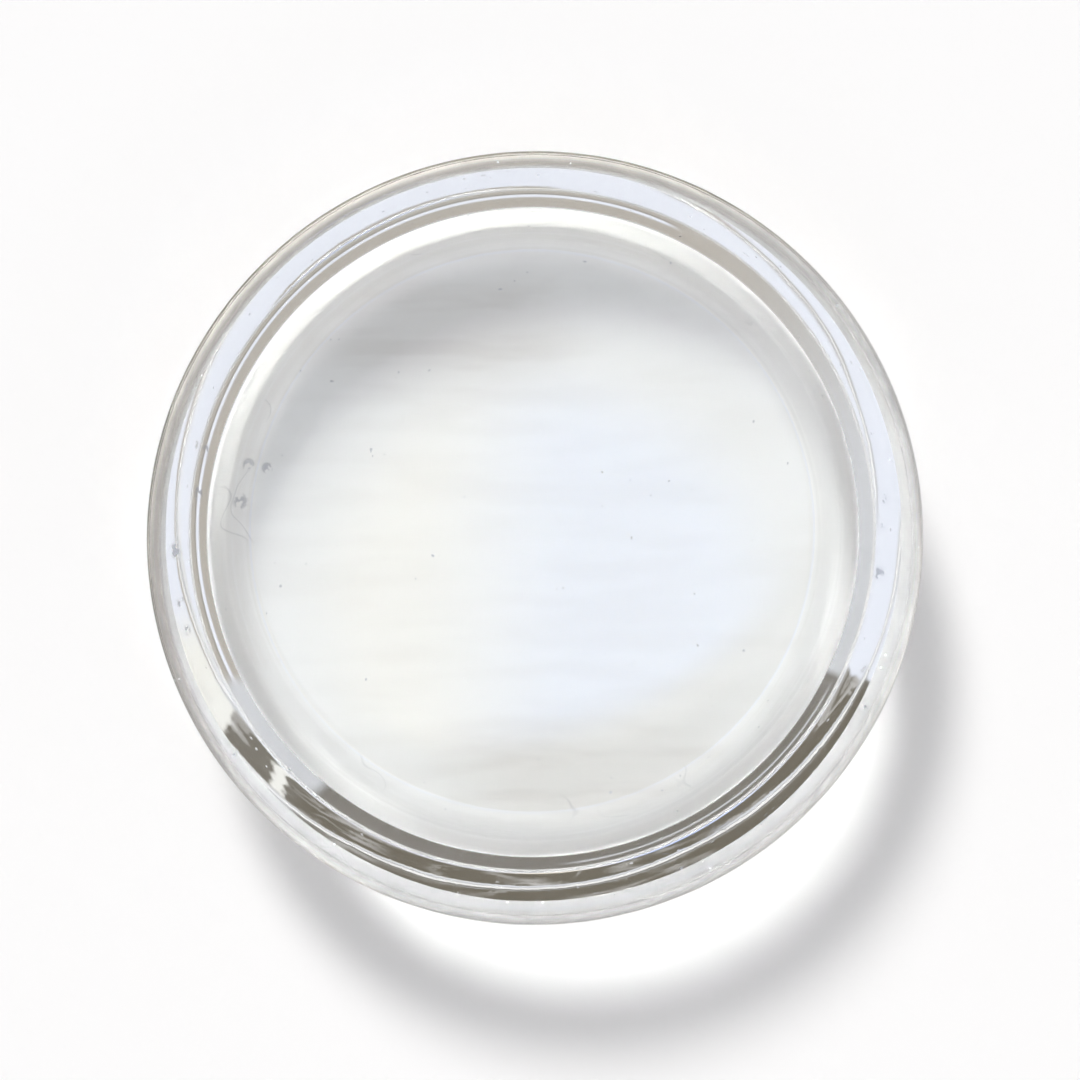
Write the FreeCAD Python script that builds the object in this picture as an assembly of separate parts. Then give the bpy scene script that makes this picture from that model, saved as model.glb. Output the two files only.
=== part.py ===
# Flat-bottomed watch glass: a heavy dish pressed in one piece of clear glass.
# Millimetres, +Z up, origin at the centre of the face the dish rests on.
import FreeCAD, Part
import math
import os

# Driving dimensions
RIM_RADIUS = 50.0          # outside radius at the rim, the widest place
HEIGHT = 17.5              # resting face to the top of the rim
RIM_THICKNESS = 1.8        # the rim is a half round of this thickness
BASE_THICKNESS = 3.7       # glass under the flat floor of the dish
OUTER_LEAN = 10.0          # degrees the outside of the wall leans out from upright
INNER_LEAN = 31.0          # degrees the inside of the wall leans out from upright
OUTER_HEEL_RADIUS = 0.8    # rounding between the resting face and the outside of the wall
INNER_HEEL_RADIUS = 5.0    # rounding between the floor and the inside of the wall

os.makedirs("parts", exist_ok=True)


def point(r, z):
    return FreeCAD.Vector(r, 0.0, z)


def on_circle(centre, radius, degrees):
    a = math.radians(degrees)
    return point(centre[0] + radius * math.cos(a), centre[1] + radius * math.sin(a))


def arc(centre, radius, start, end):
    middle = (start + end) / 2.0
    points = [on_circle(centre, radius, d) for d in (start, middle, end)]
    return Part.Arc(points[0], points[1], points[2]).toShape()


def heel_centre(touch, lean, floor_z, radius):
    """Centre of the round that touches the level z = floor_z and a wall leaning by `lean`."""
    a = math.radians(lean)
    corner_r = touch.x - (touch.z - floor_z) * math.tan(a)
    reach = radius / math.tan(math.radians(90.0 + lean) / 2.0)
    return (corner_r - reach, floor_z + radius)


# Rim: a half round that runs smoothly into both faces of the wall
rim_centre = (RIM_RADIUS - RIM_THICKNESS / 2.0, HEIGHT - RIM_THICKNESS / 2.0)
rim_radius = RIM_THICKNESS / 2.0
rim = arc(rim_centre, rim_radius, -OUTER_LEAN, 180.0 - INNER_LEAN)
outer_top = on_circle(rim_centre, rim_radius, -OUTER_LEAN)
inner_top = on_circle(rim_centre, rim_radius, 180.0 - INNER_LEAN)

# Heel, outside and inside
outer_heel_at = heel_centre(outer_top, OUTER_LEAN, 0.0, OUTER_HEEL_RADIUS)
outer_heel = arc(outer_heel_at, OUTER_HEEL_RADIUS, -90.0, -OUTER_LEAN)
outer_low = on_circle(outer_heel_at, OUTER_HEEL_RADIUS, -OUTER_LEAN)
inner_heel_at = heel_centre(inner_top, INNER_LEAN, BASE_THICKNESS, INNER_HEEL_RADIUS)
inner_heel = arc(inner_heel_at, INNER_HEEL_RADIUS, -90.0, -INNER_LEAN)
inner_low = on_circle(inner_heel_at, INNER_HEEL_RADIUS, -INNER_LEAN)

# Straight pieces of the outline
rest_edge = point(outer_heel_at[0], 0.0)
floor_edge = point(inner_heel_at[0], BASE_THICKNESS)
resting_face = Part.makeLine(point(0.0, 0.0), rest_edge)
outer_wall = Part.makeLine(outer_low, outer_top)
inner_wall = Part.makeLine(inner_top, inner_low)
floor = Part.makeLine(floor_edge, point(0.0, BASE_THICKNESS))
axis = Part.makeLine(point(0.0, BASE_THICKNESS), point(0.0, 0.0))

outline = Part.Wire(
    Part.__sortEdges__(
        [resting_face, outer_heel, outer_wall, rim, inner_wall, inner_heel, floor, axis]
    )
)
section = Part.Face(outline)
dish = section.revolve(FreeCAD.Vector(0, 0, 0), FreeCAD.Vector(0, 0, 1), 360)
dish.exportStep("parts/dish.step")
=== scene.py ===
"""Flat-bottomed watch glass: the looks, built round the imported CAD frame."""
import math

import bmesh
import bpy
from mathutils import Matrix, Vector, noise


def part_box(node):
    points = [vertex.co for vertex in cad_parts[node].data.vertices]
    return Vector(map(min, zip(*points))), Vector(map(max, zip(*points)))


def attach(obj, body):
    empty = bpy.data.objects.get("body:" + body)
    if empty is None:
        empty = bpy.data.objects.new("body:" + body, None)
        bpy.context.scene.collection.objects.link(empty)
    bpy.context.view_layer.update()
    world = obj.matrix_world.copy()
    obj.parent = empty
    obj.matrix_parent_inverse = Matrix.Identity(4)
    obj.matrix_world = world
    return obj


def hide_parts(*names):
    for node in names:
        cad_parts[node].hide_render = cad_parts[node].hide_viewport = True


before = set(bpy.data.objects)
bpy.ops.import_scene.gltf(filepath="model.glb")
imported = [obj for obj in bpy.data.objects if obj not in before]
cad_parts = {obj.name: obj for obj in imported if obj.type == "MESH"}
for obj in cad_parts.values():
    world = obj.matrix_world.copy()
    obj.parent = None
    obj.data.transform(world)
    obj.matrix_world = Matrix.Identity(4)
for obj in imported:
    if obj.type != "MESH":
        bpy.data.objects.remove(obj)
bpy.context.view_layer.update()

MM = 0.001

# The dish's outline in mm and degrees, as in the CAD model. Its radius and height come from the frame.
dish_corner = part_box("dish")[1]
RIM_RADIUS = round(dish_corner.x / MM, 2)
HEIGHT = round(dish_corner.z / MM, 2)
RIM_THICKNESS = 1.8
BASE_THICKNESS = 3.7
OUTER_LEAN = 10.0
INNER_LEAN = 31.0
OUTER_HEEL_RADIUS = 0.8
INNER_HEEL_RADIUS = 5.0

# How finely the outline is cut, and how many times it is set round the axis
UNDER_STEPS = 4
OUTER_HEEL_STEPS = 10
OUTSIDE_STEPS = 14
RIM_STEPS = 20
INSIDE_STEPS = 17
INNER_HEEL_STEPS = 20
FLOOR_STEPS = 9
SEGMENTS = 960

# Unevenness that pressing leaves in the glass, in mm. It only ever takes glass away.
WAVE = 0.012
WAVE_FADE_STEPS = 6
SLOW_WAVE_LENGTH = 11.0
RING_PITCH = 1.8
RING_WANDER = 2.5
PROBE = 0.2


def arc(centre, radius, start, end, steps, side=1.0):
    """Rings on a round of the outline, from start to end in degrees: r, z and the way out of the glass.

    side is 1 where the outline bulges and -1 where it is hollow."""
    rings = []
    for i in range(steps + 1):
        a = math.radians(start + (end - start) * i / steps)
        c, s = math.cos(a), math.sin(a)
        rings.append((centre[0] + radius * c, centre[1] + radius * s, side * c, side * s))
    return rings


def line(start, end, steps):
    """Rings on the straight run between two rounds, both ends left out. The surface faces one way there."""
    shares = [i / steps for i in range(1, steps)]
    return [tuple(a + (b - a) * t for a, b in zip(start, end)) for t in shares]


def heel(touch, lean, floor_z, radius, steps, side):
    """The round between the level floor_z and a wall that passes through touch, leaning out by lean."""
    corner_r = touch[0] - (touch[1] - floor_z) * math.tan(math.radians(lean))
    reach = radius / math.tan(math.radians(90.0 + lean) / 2.0)
    return arc((corner_r - reach, floor_z + radius), radius, -90.0, -lean, steps, side)


def dish_outline():
    """Rings from the middle of the resting face, out and up over the rim, and back to the floor's middle.

    Each is r, z, the way out of the glass, and how far in mm the glass may be eaten away there."""
    rim_centre = (RIM_RADIUS - RIM_THICKNESS / 2.0, HEIGHT - RIM_THICKNESS / 2.0)
    rim = arc(rim_centre, RIM_THICKNESS / 2.0, -OUTER_LEAN, 180.0 - INNER_LEAN, RIM_STEPS)
    outer = heel(rim[0], OUTER_LEAN, 0.0, OUTER_HEEL_RADIUS, OUTER_HEEL_STEPS, 1.0)
    inner = heel(rim[-1], INNER_LEAN, BASE_THICKNESS, INNER_HEEL_RADIUS, INNER_HEEL_STEPS, -1.0)[::-1]
    under_middle = (0.0, 0.0, 0.0, -1.0)
    floor_middle = (0.0, BASE_THICKNESS, 0.0, 1.0)
    under = [under_middle, *line(under_middle, outer[0], UNDER_STEPS), *outer]
    outside = line(outer[-1], rim[0], OUTSIDE_STEPS)
    inside = line(rim[-1], inner[0], INSIDE_STEPS)
    bottom = [*inner, *line(inner[-1], floor_middle, FLOOR_STEPS), floor_middle]
    rings = [(*ring, 0.0) for ring in under]
    rings += [(*ring, WAVE * math.sin(math.pi * i / OUTSIDE_STEPS)) for i, ring in enumerate(outside, 1)]
    rings += [(*ring, 0.0) for ring in rim]
    rings += [(*ring, WAVE * min(1.0, i / WAVE_FADE_STEPS)) for i, ring in enumerate(inside, 1)]
    rings += [(*ring, WAVE) for ring in bottom]
    return rings


def hollow(place):
    """The share of the allowed depth that is eaten away at a place: slow waves, and rings from the mould."""
    r = math.hypot(place.x, place.y)
    slow = noise.noise(place / SLOW_WAVE_LENGTH)
    about = (RING_WANDER * place.x / (r + 1.0), RING_WANDER * place.y / (r + 1.0), (place.z - r) / RING_PITCH)
    return 0.5 + 0.35 * slow + 0.15 * noise.noise(Vector(about))


def revolve(name, outline, segments):
    """A closed solid of revolution about Z from an outline whose ends lie on the axis.

    The surface directions are exact: those of the outline, tilted by the waves."""
    bm = bmesh.new()
    rings = []
    facing = []
    probes = [Vector((PROBE, 0.0, 0.0)), Vector((0.0, PROBE, 0.0)), Vector((0.0, 0.0, PROBE))]
    for r, z, out_r, out_z, wave in outline:
        ring = []
        for k in range(segments if r > 0.0 else 1):
            a = 2.0 * math.pi * k / segments
            c, s = math.cos(a), math.sin(a)
            place = Vector((r * c, r * s, z))
            out = Vector((out_r * c, out_r * s, out_z))
            ring.append(bm.verts.new((place - out * hollow(place) * wave) * MM))
            rises = [hollow(place + probe) - hollow(place - probe) for probe in probes]
            slope = Vector(rises) * (wave / (2.0 * PROBE))
            facing.append((out + slope - out * slope.dot(out)).normalized())
        rings.append(ring)
    for low, high in zip(rings, rings[1:]):
        for k in range(segments):
            n = (k + 1) % segments
            if len(low) == 1:
                bm.faces.new((low[0], high[n], high[k]))
            elif len(high) == 1:
                bm.faces.new((low[k], low[n], high[0]))
            else:
                bm.faces.new((low[k], low[n], high[n], high[k]))
    mesh = bpy.data.meshes.new(name)
    bm.to_mesh(mesh)
    bm.free()
    mesh.polygons.foreach_set("use_smooth", [True] * len(mesh.polygons))
    mesh.normals_split_custom_set_from_vertices(facing)
    piece = bpy.data.objects.new(name, mesh)
    bpy.context.scene.collection.objects.link(piece)
    return piece


class Graph:
    """Short calls that add nodes to a node tree and wire them."""

    def __init__(self, tree):
        self.tree = tree

    def node(self, kind, **settings):
        made = self.tree.nodes.new(kind)
        for key, value in settings.items():
            setattr(made, key, value)
        return made

    def feed(self, socket, value):
        if isinstance(value, bpy.types.NodeSocket):
            self.tree.links.new(value, socket)
        else:
            socket.default_value = value

    def math(self, operation, a, b=0.0, c=0.0):
        made = self.node("ShaderNodeMath", operation=operation)
        for socket, value in zip(made.inputs, (a, b, c)):
            self.feed(socket, value)
        return made.outputs[0]

    def times(self, first, *others):
        product = first
        for other in others:
            product = self.math("MULTIPLY", product, other)
        return product

    def most(self, first, *others):
        """The largest of the values."""
        largest = first
        for other in others:
            largest = self.math("MAXIMUM", largest, other)
        return largest

    def rest_of(self, share):
        """What is left of 1."""
        return self.math("SUBTRACT", 1.0, share)

    def length(self, a, b):
        """How long the flat vector (a, b) is."""
        return self.math("SQRT", self.math("MULTIPLY_ADD", a, a, self.math("MULTIPLY", b, b)))

    def distance(self, vector, place):
        """How far a vector is from a fixed place."""
        made = self.node("ShaderNodeVectorMath", operation="DISTANCE")
        self.feed(made.inputs[0], vector)
        made.inputs[1].default_value = place
        return made.outputs["Value"]

    def split(self, vector):
        made = self.node("ShaderNodeSeparateXYZ")
        self.feed(made.inputs[0], vector)
        return made.outputs

    def step(self, value, low, high):
        """0 below low, 1 above high, smooth between."""
        made = self.node("ShaderNodeMapRange", interpolation_type="SMOOTHSTEP")
        self.feed(made.inputs["Value"], value)
        made.inputs["From Min"].default_value = low
        made.inputs["From Max"].default_value = high
        return made.outputs["Result"]

    def window(self, value, low, high, soft):
        """1 between low and high, 0 outside. Each edge is soft to both sides of its place."""
        return self.times(self.step(value, low - soft, low + soft),
                          self.rest_of(self.step(value, high - soft, high + soft)))

    def mix(self, share, a, b):
        """Colour a where share is 0 and colour b where it is 1."""
        made = self.node("ShaderNodeMix", data_type="RGBA")
        self.feed(made.inputs[0], share)
        for socket, value in ((made.inputs[6], a), (made.inputs[7], b)):
            self.feed(socket, value if isinstance(value, bpy.types.NodeSocket) else (*value, 1.0))
        return made.outputs[2]

    def noise(self, vector, scale, detail):
        made = self.node("ShaderNodeTexNoise")
        self.feed(made.inputs["Vector"], vector)
        made.inputs["Scale"].default_value = scale
        made.inputs["Detail"].default_value = detail
        return made.outputs["Fac"]


# Glass
CLEAR = (0.945, 0.955, 0.950)
# RIM_PAINTED_SHADE is painted shade: beige over the top of the rim that stands in for shade
RIM_PAINTED_SHADE = (0.50, 0.46, 0.41)
# EDGE_PAINTED_SHADE is a painted dark line of shade round the outer edge of the rim
EDGE_PAINTED_SHADE = (0.10, 0.085, 0.06)
MARK_GREY = (0.36, 0.38, 0.42)
# FLOOR_STREAK_AND_SHADE_GREY is the grey of the floor's faint streaks and of its painted shade patches
FLOOR_STREAK_AND_SHADE_GREY = (0.79, 0.78, 0.76)
GLASS_IOR = 1.52
MARK_ROUGHNESS = 0.35

# Frosted scuffs: middle and reach, in mm. Each is whole up to a share of its reach.
SCUFF_CORE = 0.4
SCUFFS = [
    ((-39.2, 4.6, 3.7), 1.4),
    ((-38.0, 9.5, 3.7), 1.1),
    ((-35.5, 9.0, 3.7), 0.9),
    ((-47.0, -1.0, 14.0), 1.6),
    ((-46.5, -8.0, 14.0), 1.3),
    ((-45.6, -11.5, 14.0), 1.1),
    ((37.8, 15.8, 3.7), 0.8),
    ((41.5, 3.5, 4.4), 0.7),
]

# Grain of the noises that draw the marks and the floor's streaks, per metre
SCUFF_GRAIN = 1100.0
SPECK_GRAIN = 900.0
WATER_GRAIN = 34.0
WATER_PLACES_GRAIN = 60.0
STREAK_GRAIN = 260.0
STREAK_SQUEEZE = (0.18, 1.0, 1.0)

# How strongly water lines show, and how dark the floor grey is in its streaks, in the painted shade patches
# and in both
WATER_LINE = 0.35
STREAK_GREY_SHARE = 0.22
SHADE_PATCH_SHARE = 0.6
SHADE_PATCH_STREAK_SHARE = 0.4


def surface_marks(graph, place, radius):
    """Frosted scuffs, fine specks all over and a few dried water lines near the heel, 0 to 1."""
    scuffs = 0.0
    for centre, reach in SCUFFS:
        away = graph.distance(place, [v * MM for v in centre])
        patch = graph.rest_of(graph.step(away, SCUFF_CORE * reach * MM, reach * MM))
        scuffs = graph.most(scuffs, patch)
    scuffs = graph.times(scuffs, graph.step(graph.noise(place, SCUFF_GRAIN, 3.0), 0.44, 0.50))

    specks = graph.step(graph.noise(place, SPECK_GRAIN, 1.0), 0.785, 0.81)

    # A water line runs where a slow noise crosses its middle, in some places only
    slow = graph.noise(place, WATER_GRAIN, 3.0)
    where = graph.times(graph.step(graph.noise(place, WATER_PLACES_GRAIN, 1.0), 0.55, 0.62),
                        graph.window(radius, 36.0 * MM, 42.0 * MM, 1.0 * MM))
    lines = graph.times(graph.window(slow, 0.4980, 0.5020, 0.0012), where, WATER_LINE)
    return graph.most(scuffs, specks, lines)


def rim_painted_shade(graph, x, y, z, radius):
    """The clear colour, with painted shade in beige over the rim and a painted dark brown line of shade on
    its outer edge.

    Both are stronger at the back left, where the shade falls."""
    # Painted shade, growing towards the back left
    shaded_back_left = graph.step(graph.math("SUBTRACT", y, graph.math("MULTIPLY", x, 0.9)), -25.0 * MM, 40.0 * MM)
    darkening = graph.times(graph.step(z, 16.6 * MM, 16.9 * MM),
                       graph.math("MULTIPLY_ADD", shaded_back_left, 0.65, 0.35))
    # A painted dark line of shade round the outer edge of the rim, stronger at the back left
    edge_shade = graph.times(graph.step(radius, 49.62 * MM, 49.80 * MM),
                       graph.math("MULTIPLY_ADD", shaded_back_left, 0.5, 0.5))
    return graph.mix(edge_shade, graph.mix(darkening, CLEAR, RIM_PAINTED_SHADE), EDGE_PAINTED_SHADE)


def floor_streaks_and_painted_shade(graph, place, x, y, z):
    """Grey on the floor of the dish: faint long streaks all over, and painted shade at the front and at the
    back left, streaked there too.
    """
    squeezed = graph.node("ShaderNodeVectorMath", operation="MULTIPLY")
    graph.feed(squeezed.inputs[0], place)
    squeezed.inputs[1].default_value = STREAK_SQUEEZE
    streaks = graph.step(graph.noise(squeezed.outputs[0], STREAK_GRAIN, 3.0), 0.40, 0.66)
    # Painted shade patches at the front and at the back left
    front = graph.times(graph.window(y, -39.0 * MM, -27.0 * MM, 4.0 * MM),
                        graph.window(x, -10.0 * MM, 24.0 * MM, 9.0 * MM))
    shaded_back_left = graph.times(graph.window(y, 20.0 * MM, 34.0 * MM, 6.0 * MM),
                            graph.window(x, -26.0 * MM, 2.0 * MM, 8.0 * MM))
    shade_patch = graph.most(front, shaded_back_left)
    darkening = graph.math("MULTIPLY_ADD", streaks, STREAK_GREY_SHARE, graph.math("MULTIPLY", shade_patch, SHADE_PATCH_SHARE))
    darkening = graph.math("MULTIPLY_ADD", graph.times(shade_patch, streaks), SHADE_PATCH_STREAK_SHARE, darkening)
    return graph.times(darkening, graph.window(z, 3.0 * MM, 4.2 * MM, 0.3 * MM))


def clear_glass():
    """Clear glass with marks on its surface, painted shade on the rim, and faint streaks and painted shade on
    the floor of the dish.
    """
    material = bpy.data.materials.new("clear_glass")
    material.use_nodes = True
    graph = Graph(material.node_tree)
    shader = material.node_tree.nodes["Principled BSDF"]
    place = graph.node("ShaderNodeTexCoord").outputs["Object"]
    x, y, z = graph.split(place)
    radius = graph.length(x, y)
    marks = surface_marks(graph, place, radius)
    # The clear colour gets the rim's and the floor's painted shade
    tint = graph.mix(floor_streaks_and_painted_shade(graph, place, x, y, z), rim_painted_shade(graph, x, y, z, radius), FLOOR_STREAK_AND_SHADE_GREY)
    graph.feed(shader.inputs["Base Color"], graph.mix(marks, tint, MARK_GREY))
    graph.feed(shader.inputs["Roughness"], graph.times(marks, MARK_ROUGHNESS))
    shader.inputs["Transmission Weight"].default_value = 1.0
    shader.inputs["IOR"].default_value = GLASS_IOR
    return material


dish = revolve("glass_dish", dish_outline(), SEGMENTS)
dish.data.materials.append(clear_glass())
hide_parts("dish")
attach(dish, "root")

# Floor: a plain pale sheet of paper, its size in metres
FLOOR_SIZE = 4.0
FLOOR_GAP = 0.1 * MM
PAPER_WHITE = (0.95, 0.95, 0.95, 1.0)
PAPER_ROUGHNESS = 0.9
half = FLOOR_SIZE / 2.0
corners = [(-half, -half, 0), (half, -half, 0), (half, half, 0), (-half, half, 0)]
floor_mesh = bpy.data.meshes.new("floor")
floor_mesh.from_pydata(corners, [], [(0, 1, 2, 3)])
floor = bpy.data.objects.new("floor", floor_mesh)
floor.location.z = -FLOOR_GAP
bpy.context.scene.collection.objects.link(floor)
paper = bpy.data.materials.new("floor")
paper.use_nodes = True
paper.node_tree.nodes["Principled BSDF"].inputs["Base Color"].default_value = PAPER_WHITE
paper.node_tree.nodes["Principled BSDF"].inputs["Roughness"].default_value = PAPER_ROUGHNESS
floor_mesh.materials.append(paper)

# Colours of the room
SKY = (0.90, 0.93, 1.03)
SKY_WARM = (0.98, 0.97, 0.92)
SKY_OUTER = (0.72, 0.73, 0.76)
GLOW_WARM = (1.6, 1.45, 1.1)
GLOW_COOL = (0.65, 1.0, 2.0)
CEILING_DARK = (0.165, 0.145, 0.11)
CEILING_STRIPE = (0.62, 0.60, 0.58)
WALL_LIGHT = (0.66, 0.67, 0.70)
WALL_MID = (0.50, 0.46, 0.41)
WALL_DARK = (0.20, 0.185, 0.16)
KEY_LIGHT = (61.5, 60.6, 59.2)

# Places on the ceiling, as slopes of the line of sight: how far across or towards the front for each step up
GLOW_MIDDLE = (0.035, 0.115)
GLOW_CORE = 0.065
GLOW_REACH = 0.105
PANEL_RING = (0.168, 0.32)
PANEL_SLANT = -0.04
STRIP_RING = (0.19, 0.26)
STRIP_RUN = (-0.11, -0.034)
STRIP_STRENGTH = 0.7
GAP_RUN = (0.027, 0.041)
STRIPES_OUTWARD = 70.0
STRIPES_ACROSS = 9.0

# Where the walls give way to the ceiling, and the key light's place and reach
CEILING_FROM = math.radians(44.0)
CEILING_FULL = math.radians(50.0)
KEY_BEARING = math.radians(110.0)
KEY_RISE = math.radians(34.5)
KEY_CORE = 0.05
KEY_REACH = 0.17


def walls(graph, turn, rise):
    """Walls that are lighter and darker by bearing, counted anticlockwise from +X."""
    deg = math.radians
    wall = graph.mix(graph.window(turn, deg(41), deg(162), deg(1.5)), WALL_MID, WALL_DARK)
    wall = graph.mix(graph.window(turn, deg(20), deg(45), deg(1.5)), wall, WALL_LIGHT)
    left = graph.math("ADD", graph.step(turn, deg(158), deg(160)),
                      graph.rest_of(graph.step(turn, deg(-170), deg(-110))))
    wall = graph.mix(left, wall, WALL_LIGHT)

    # A bright band over a dark one, at the front and the right
    front = graph.window(turn, deg(-110), deg(20), deg(2))
    wall = graph.mix(graph.times(front, graph.window(rise, deg(27), deg(32), deg(1.2))), wall, SKY)
    wall = graph.mix(graph.times(front, graph.window(rise, deg(24), deg(25.5), deg(0.6))), wall, WALL_DARK)

    # A pale band at the back
    shelf = graph.times(graph.window(turn, deg(95), deg(156), deg(4)),
                        graph.window(rise, deg(21), deg(24), deg(1)))
    return graph.mix(shelf, wall, WALL_LIGHT)


def ceiling(graph, across, toward):
    """A bright ceiling with a warm and cool glow, and a dark ring-shaped panel over the front.

    At its left the panel has a gap, and narrow strips carry on beyond its end."""
    spread = graph.length(across, toward)
    sky = graph.mix(graph.step(across, -0.16, -0.12), SKY_WARM, SKY)
    glow = graph.mix(graph.step(across, -0.02, 0.05), GLOW_WARM, GLOW_COOL)
    away = graph.length(graph.math("SUBTRACT", across, GLOW_MIDDLE[0]),
                        graph.math("SUBTRACT", toward, GLOW_MIDDLE[1]))
    sky = graph.mix(graph.rest_of(graph.step(away, GLOW_CORE, GLOW_REACH)), sky, glow)
    sky = graph.mix(graph.step(spread, 0.30, 0.50), sky, SKY_OUTER)

    slanted = graph.math("MULTIPLY_ADD", across, PANEL_SLANT, toward)
    left = graph.step(across, -0.13, -0.15)
    gap = graph.times(graph.window(toward, *GAP_RUN, 0.003), left)
    panel = graph.times(graph.step(slanted, -0.019, -0.013), graph.window(spread, *PANEL_RING, 0.010),
                        graph.rest_of(gap))
    rings = graph.node("ShaderNodeCombineXYZ")
    graph.feed(rings.inputs["X"], graph.math("MULTIPLY", spread, STRIPES_OUTWARD))
    graph.feed(rings.inputs["Y"], graph.math("MULTIPLY", across, STRIPES_ACROSS))
    stripes = graph.step(graph.noise(rings.outputs[0], 1.0, 2.0), 0.50, 0.68)
    sky = graph.mix(panel, sky, graph.mix(stripes, CEILING_DARK, CEILING_STRIPE))

    strips = graph.times(graph.window(slanted, *STRIP_RUN, 0.004), graph.window(spread, *STRIP_RING, 0.008),
                         left, STRIP_STRENGTH)
    return graph.mix(strips, sky, CEILING_DARK)


def key_light(graph, way):
    """A soft round patch at the back. It lights the floor, also through the glass.

    The glass itself doesn't show it: rays that have only passed through or off glass miss it."""
    flat = math.cos(KEY_RISE)
    middle = (flat * math.cos(KEY_BEARING), flat * math.sin(KEY_BEARING), math.sin(KEY_RISE))
    patch = graph.rest_of(graph.step(graph.distance(way, middle), KEY_CORE, KEY_REACH))
    path = graph.node("ShaderNodeLightPath").outputs
    by_glass = graph.math("ADD", path["Is Glossy Ray"], path["Is Transmission Ray"])
    by_glass = graph.times(by_glass, graph.math("LESS_THAN", path["Diffuse Depth"], 0.5))
    return graph.times(patch, graph.rest_of(by_glass))


def studio(world):
    """A pale room with a bright ceiling and one soft key light."""
    world.use_nodes = True
    graph = Graph(world.node_tree)
    way = graph.node("ShaderNodeTexCoord").outputs["Generated"]
    x, y, z = graph.split(way)
    up = graph.most(z, 0.001)
    across = graph.math("DIVIDE", x, up)
    toward = graph.math("DIVIDE", graph.math("MULTIPLY", y, -1.0), up)
    turn = graph.math("ARCTAN2", y, x)
    rise = graph.math("ARCSINE", z)
    overhead = graph.step(rise, CEILING_FROM, CEILING_FULL)
    room = graph.mix(overhead, walls(graph, turn, rise), ceiling(graph, across, toward))
    background = world.node_tree.nodes["Background"]
    graph.feed(background.inputs["Color"], graph.mix(key_light(graph, way), room, KEY_LIGHT))


world = bpy.data.worlds.new("room")
bpy.context.scene.world = world
studio(world)

# Camera: above the rim, a little to the back, aimed at a place (mm) in the plane of the rim
CAMERA_HEIGHT = 330.0 * MM
CAMERA_OFFSET = 31.0 * MM
CAMERA_BEARING = math.radians(110.0)
CAMERA_AIM = (0.37, 0.47)
LENS = 86.03
CLIP_START = 0.01
aim = Vector((CAMERA_AIM[0] * MM, CAMERA_AIM[1] * MM, HEIGHT * MM))
camera_data = bpy.data.cameras.new("camera")
camera = bpy.data.objects.new("camera", camera_data)
bpy.context.scene.collection.objects.link(camera)
bpy.context.scene.camera = camera
offset = Vector((math.cos(CAMERA_BEARING), math.sin(CAMERA_BEARING), 0.0)) * CAMERA_OFFSET
camera.location = offset + Vector((0.0, 0.0, HEIGHT * MM + CAMERA_HEIGHT))
back = (camera.location - aim).normalized()
right = Vector((0.0, 1.0, 0.0)).cross(back).normalized()
camera.rotation_euler = Matrix((right, back.cross(right), back)).transposed().to_euler()
camera_data.lens = LENS
camera_data.clip_start = CLIP_START

# The light inside the glass needs many bounces and no clamp
BOUNCES = 64
scene = bpy.context.scene
scene.view_settings.view_transform = "Standard"
scene.cycles.max_bounces = BOUNCES
scene.cycles.transmission_bounces = BOUNCES
scene.cycles.glossy_bounces = BOUNCES
scene.cycles.sample_clamp_indirect = 0.0
scene.cycles.blur_glossy = 0.0
